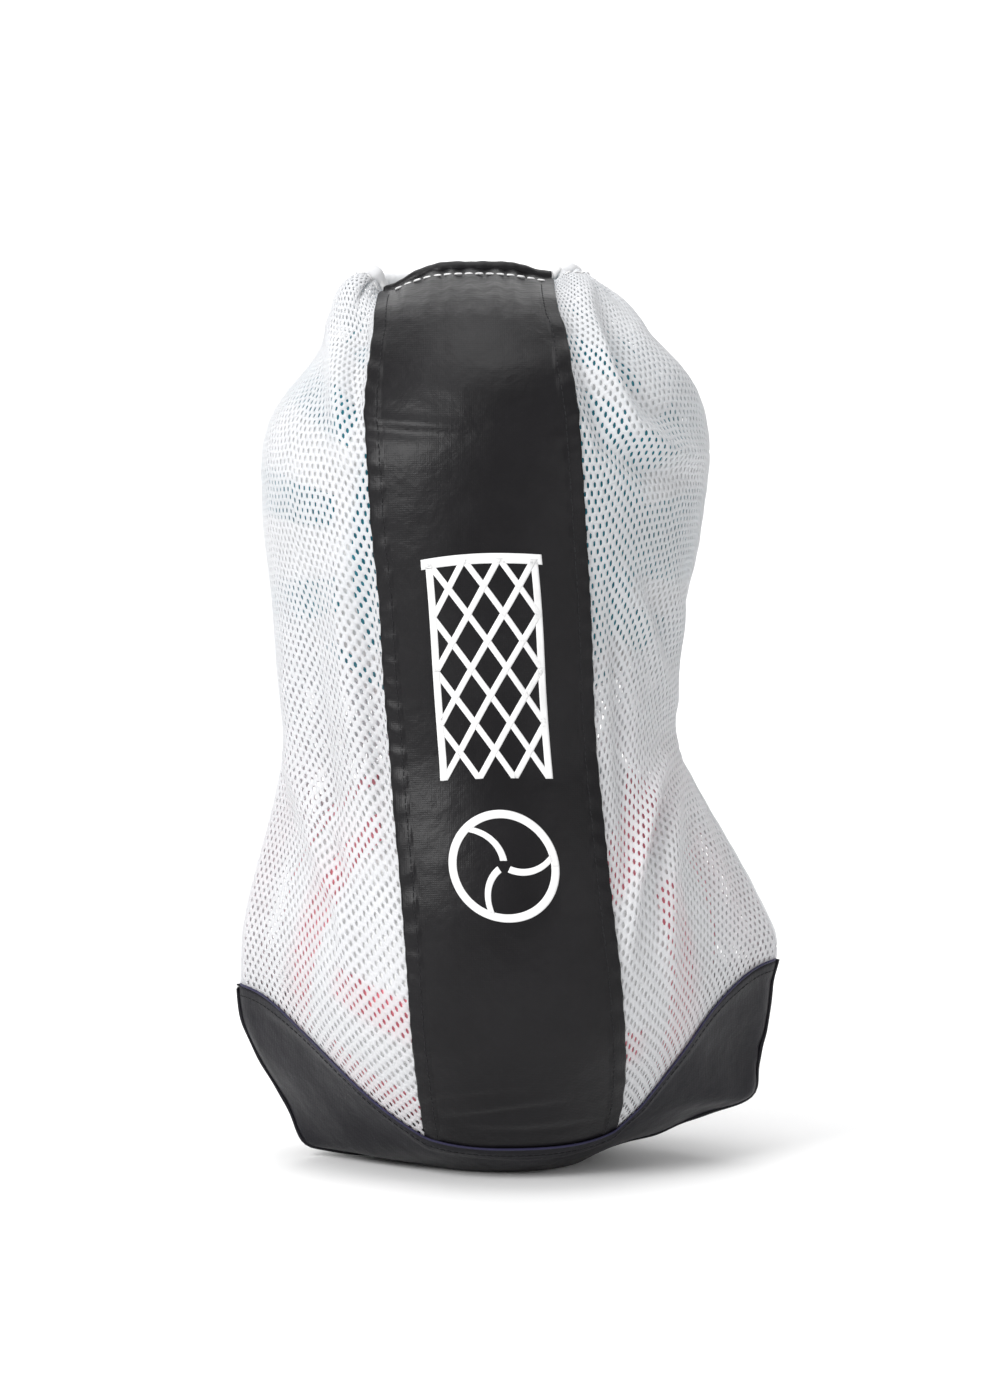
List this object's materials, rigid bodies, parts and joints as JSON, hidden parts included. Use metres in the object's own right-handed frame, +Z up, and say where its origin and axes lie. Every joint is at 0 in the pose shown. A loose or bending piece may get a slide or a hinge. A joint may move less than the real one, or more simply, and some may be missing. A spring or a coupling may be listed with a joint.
{
  "type": "mesh ball bag",
  "caption": "Upright drawstring mesh bag with a dark front panel and dark eared base, holding one ball on top of another.",
  "frame": {"origin": "middle of the bag's footprint, on the surface it stands on", "axes": "+Z up, +X to the right seen from the front panel, front panel faces -Y"},
  "size_m": [0.273, 0.2516, 0.454],
  "materials": {
    "panel_nylon": "black satin nylon, tight plain weave, soft broad sheen",
    "base_nylon": "black-navy satin nylon, creased",
    "mesh_cloth": "white knitted polyester mesh with oval holes, slightly see-through",
    "white_thread": "white polyester lockstitch thread",
    "black_thread": "black polyester lockstitch thread",
    "white_ink": "matt white screen print",
    "cord_white": "braided white polyester cord",
    "eyelet_metal": "nickel plated brass eyelets",
    "lock_plastic": "black moulded nylon, fine texture",
    "spring_steel": "bare spring wire",
    "ball_white": "white rubber cover with raised pimples",
    "ball_teal": "teal rubber panels with raised pimples",
    "ball_pink": "pink-red rubber panels with raised pimples",
    "ball_inner": "black butyl bladder",
    "valve_rubber": "black soft valve rubber"
  },
  "bodies": {
    "bag": {"front_panel": "panel_nylon", "front_left_mesh": "mesh_cloth", "front_right_mesh": "mesh_cloth", "back_mesh": "mesh_cloth", "left_side_seam": "mesh_cloth", "right_side_seam": "mesh_cloth", "base_front": "base_nylon", "base_back": "base_nylon", "base_sole": "base_nylon", "front_hem": "panel_nylon", "left_hem": "mesh_cloth", "right_hem": "mesh_cloth", "hem_stitches": "white_thread", "drawcord_front": "cord_white"},
    "mouth_back": {"back_lip_mesh": "mesh_cloth", "back_hem": "mesh_cloth", "drawcord_back": "cord_white", "cord_eyelets": "eyelet_metal", "cord_lock_barrel": "lock_plastic", "cord_lock_spring": "spring_steel", "cord_knot": "cord_white"},
    "lock_button": {"cord_lock_plunger": "lock_plastic"},
    "upper_ball": {"upper_ball_cover": "ball_teal", "upper_ball_bladder": "ball_inner", "upper_ball_valve": "valve_rubber"},
    "lower_ball": {"lower_ball_cover": "ball_pink", "lower_ball_bladder": "ball_inner", "lower_ball_valve": "valve_rubber"}
  },
  "joints": [
    {"name": "mouth_open", "type": "hinge", "parent": "bag", "child": "mouth_back", "pos_m": [-0.02, 0.1015, 0.4015], "axis": [-1, 0, 0], "range_deg": [0, 25]},
    {"name": "lock_press", "type": "slide", "parent": "mouth_back", "child": "lock_button", "axis": [-1, 0, 0], "range_m": [0, 0.0035], "stiffness_N_per_m": 500, "springref_m": -0.004, "deforming": ["cord_lock_spring"]},
    {"name": "upper_ball_turn", "type": "hinge", "parent": "bag", "child": "upper_ball", "pos_m": [-0.0135, 0.014, 0.3304], "axis": [0, 0, 1], "continuous": true},
    {"name": "lower_ball_turn", "type": "hinge", "parent": "bag", "child": "lower_ball", "pos_m": [-0.005, -0.012, 0.1115], "axis": [0, 0, 1], "continuous": true}
  ]
}
